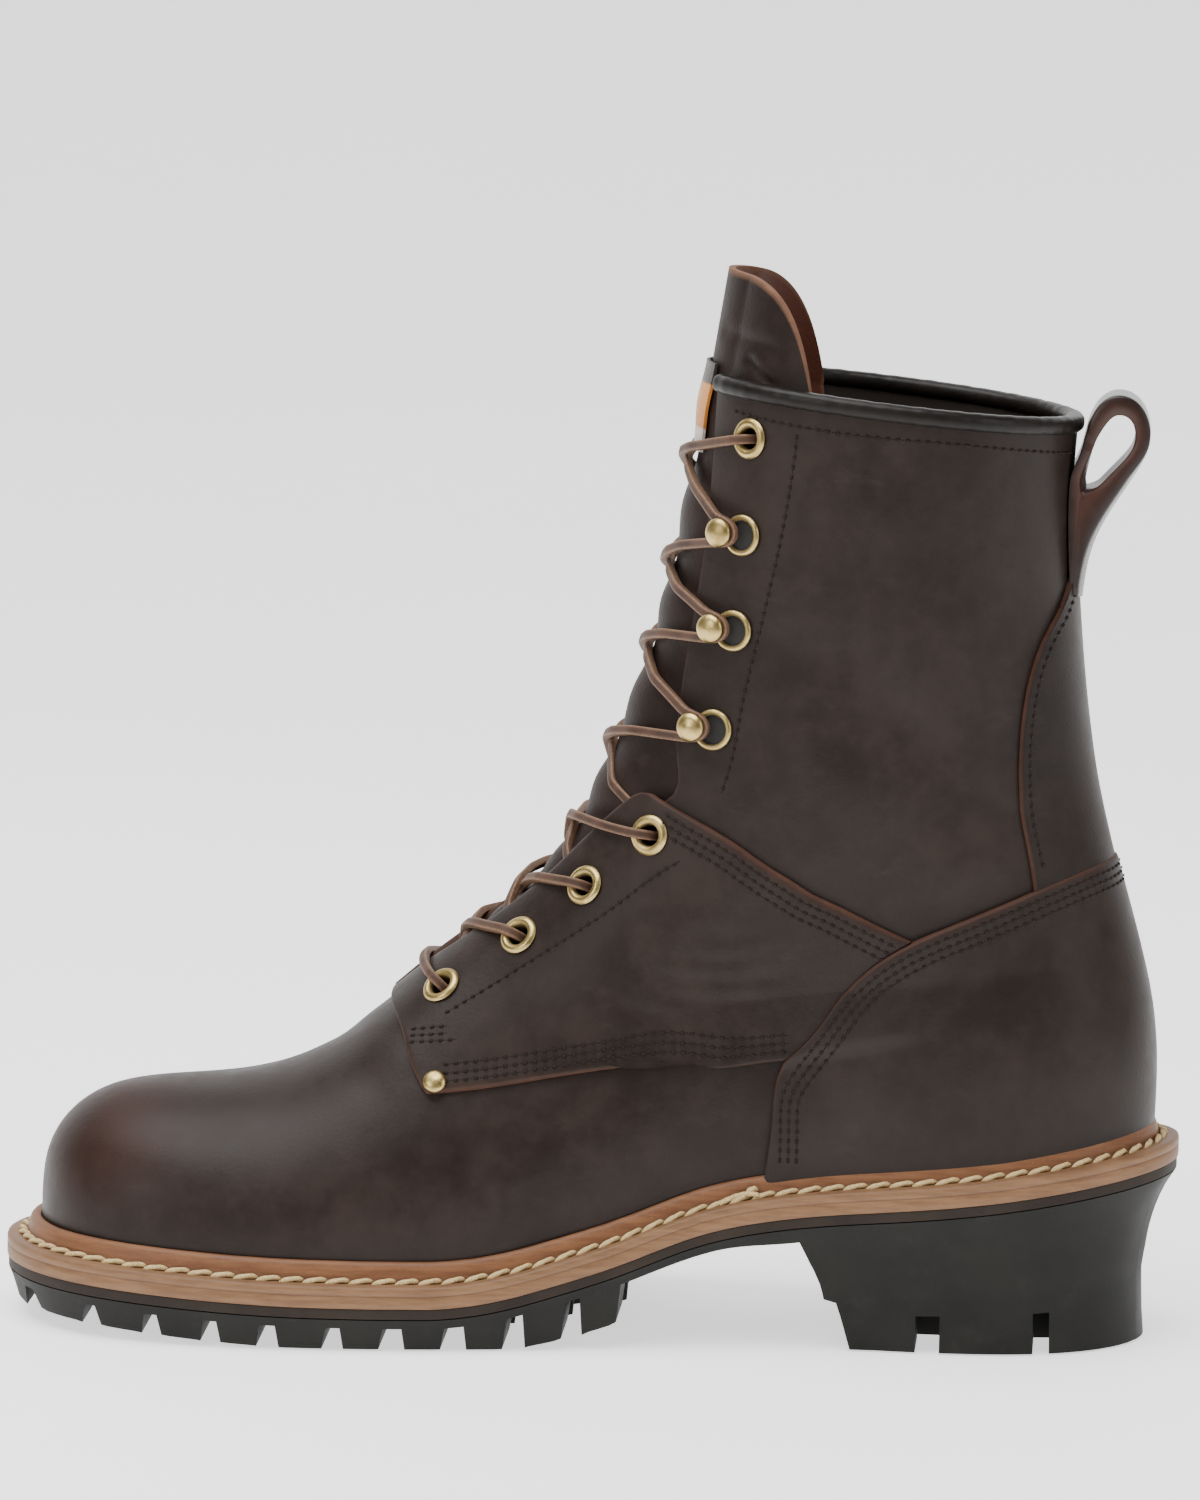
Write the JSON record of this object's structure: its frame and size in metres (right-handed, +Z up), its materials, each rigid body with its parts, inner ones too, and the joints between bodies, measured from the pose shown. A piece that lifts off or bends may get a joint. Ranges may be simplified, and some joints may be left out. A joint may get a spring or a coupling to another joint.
{
  "type": "lace-up logger boot",
  "caption": "Ankle-high lace-up leather logger boot with a plain toe, stitched welt, raised heel and lugged rubber sole, open at the collar, laces done up.",
  "frame": {"origin": "On the floor, under the middle of the boot's bounding box", "axes": "+X from the toe to the heel, +Z up, the inner (medial) side of the foot at -Y"},
  "size_m": [0.309, 0.1163, 0.2798],
  "materials": {
    "brown_leather": "oiled dark brown leather, semi-gloss",
    "quarter_leather": "oiled dark brown leather, semi-gloss",
    "counter_leather": "oiled dark brown leather, semi-gloss",
    "backstay_leather": "oiled brown leather with a reddish raw edge",
    "tongue_leather": "reddish brown leather, satin",
    "loop_leather": "glossy dark brown leather strap",
    "collar_leather": "near-black soft leather binding, satin",
    "insole_leather": "tan leather, matte",
    "welt_leather": "tan leather, satin",
    "midsole_rubber": "dark brown rubber, matte",
    "outsole_rubber": "black-brown moulded rubber, matte",
    "eyelet_brass": "pale antique brass, satin",
    "lace_leather": "brown leather lace, matte",
    "label_cloth": "woven cloth, matte"
  },
  "bodies": {
    "root": {"backstay": "backstay_leather", "collar_binding": "collar_leather", "counter": "counter_leather", "eyelet_lateral_1": "eyelet_brass", "eyelet_lateral_2": "eyelet_brass", "eyelet_lateral_3": "eyelet_brass", "eyelet_lateral_4": "eyelet_brass", "eyelet_lateral_5": "eyelet_brass", "eyelet_medial_1": "eyelet_brass", "eyelet_medial_2": "eyelet_brass", "eyelet_medial_3": "eyelet_brass", "eyelet_medial_4": "eyelet_brass", "eyelet_medial_5": "eyelet_brass", "hook_lateral_1": "eyelet_brass", "hook_lateral_2": "eyelet_brass", "hook_lateral_3": "eyelet_brass", "hook_medial_1": "eyelet_brass", "hook_medial_2": "eyelet_brass", "hook_medial_3": "eyelet_brass", "insole": "insole_leather", "lace_bar": "lace_leather", "lace_crossing_1": "lace_leather", "lace_crossing_2": "lace_leather", "lace_crossing_3": "lace_leather", "lace_crossing_4": "lace_leather", "lace_crossing_5": "lace_leather", "lace_crossing_6": "lace_leather", "lace_crossing_7": "lace_leather", "midsole": "midsole_rubber", "outsole": "outsole_rubber", "pull_loop": "loop_leather", "quarter_lateral": "quarter_leather", "quarter_medial": "quarter_leather", "rivet_lateral": "eyelet_brass", "rivet_medial": "eyelet_brass", "tongue": "tongue_leather", "tongue_label": "label_cloth", "upper": "brown_leather", "welt": "welt_leather"}
  },
  "joints": []
}
